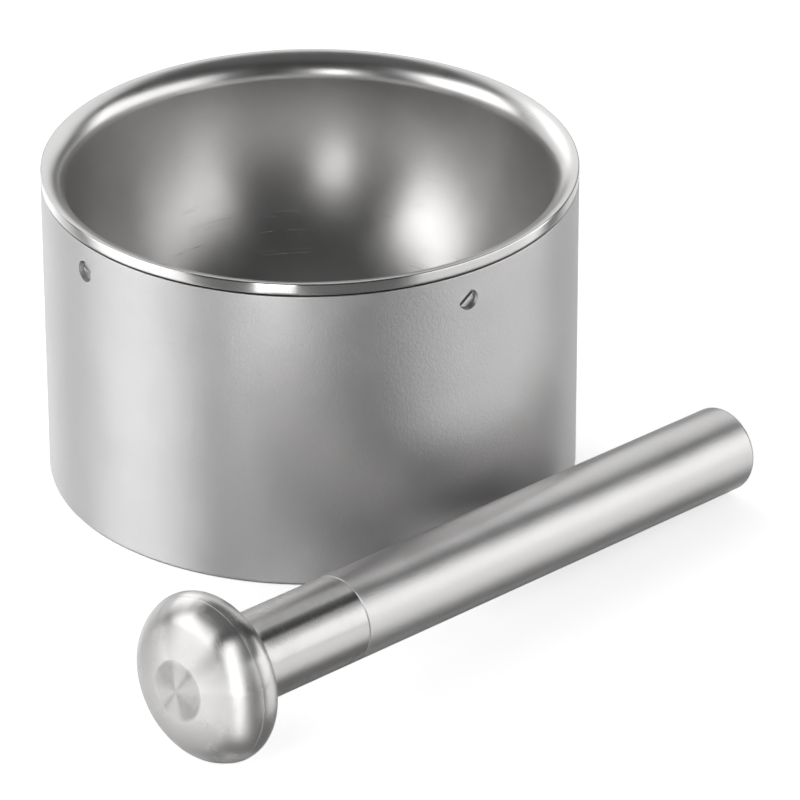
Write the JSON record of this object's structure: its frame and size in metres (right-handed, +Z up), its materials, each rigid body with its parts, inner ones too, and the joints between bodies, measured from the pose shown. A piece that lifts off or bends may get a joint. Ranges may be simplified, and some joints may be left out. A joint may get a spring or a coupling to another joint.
{
  "type": "mortar and pestle",
  "caption": "Stainless-steel laboratory mortar with a rolled lip, round-bottomed bowl and blasted cylindrical jacket, and a pestle with a polished mushroom head and tubular handle.",
  "frame": {"origin": "centre of the mortar's flat underside, on the surface it stands on", "axes": "+Z up along the mortar's own axis; -Y is the side where the pestle's head lies, +X the side of its handle's end"},
  "size_m": [0.1324, 0.1709, 0.062],
  "materials": {
    "satin_steel": "satin, with a polished turned rim edge and a ground bottom",
    "blasted_steel": "bead blasted, matte",
    "plain_steel": "as rolled",
    "screw_steel": "plain",
    "handle_steel": "finely blasted, matte",
    "polished_steel": "turned and polished, with fine concentric marks"
  },
  "bodies": {
    "mortar": {"bowl": "satin_steel", "jacket": "blasted_steel", "support_ring": "plain_steel", "base_plate": "plain_steel", "grub_screw_1": "screw_steel", "grub_screw_2": "screw_steel", "grub_screw_3": "screw_steel", "grub_screw_4": "screw_steel"},
    "pestle": {"handle_tube": "handle_steel", "handle_end_plug": "handle_steel", "pestle_head": "polished_steel"}
  },
  "joints": [
    {"name": "pestle_lift", "type": "slide", "parent": "mortar", "child": "pestle", "axis": [0, 0, 1], "range_m": [0, 0.12]}
  ]
}
